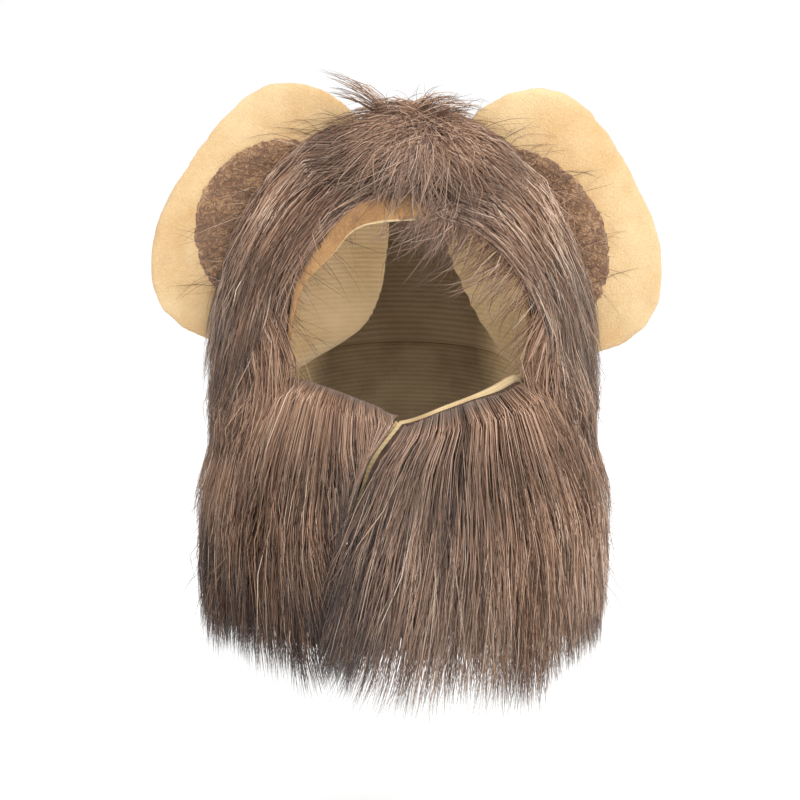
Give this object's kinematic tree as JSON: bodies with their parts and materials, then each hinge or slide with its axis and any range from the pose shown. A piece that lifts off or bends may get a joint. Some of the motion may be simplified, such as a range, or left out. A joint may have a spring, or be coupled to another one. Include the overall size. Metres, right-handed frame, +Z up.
{
  "type": "pet lion mane wig",
  "caption": "Fur-covered knitted hood with a pointed face opening, a neck band that wraps over in front, a long fur skirt and padded ears, worn by a small pet.",
  "frame": {"origin": "inside top of the hood, where the crown of the head touches it", "axes": "+Z up, -Y out of the face opening, +X towards the ear on the right of the picture"},
  "size_m": [0.2039, 0.1697, 0.2431],
  "materials": {
    "cream_knit": "fine ribbed knit, matte",
    "hem_cloth": "short golden nap, matte",
    "mane_fur": "long straight pile, soft sheen",
    "gold_plush": "short plush, matte",
    "curly_plush": "curly plush, matte",
    "closure_tape": "woven tape, matte"
  },
  "bodies": {
    "root": {"hood_backing": "cream_knit", "opening_hem": "hem_cloth", "collar_backing": "cream_knit", "closure_tape": "closure_tape", "face_fur_left": "mane_fur", "face_fur_right": "mane_fur", "hood_fur": "mane_fur", "collar_fur": "mane_fur", "crown_tuft": "mane_fur", "ear_left": "gold_plush", "ear_right": "gold_plush", "inner_ear_left": "curly_plush", "inner_ear_right": "curly_plush"}
  },
  "joints": []
}
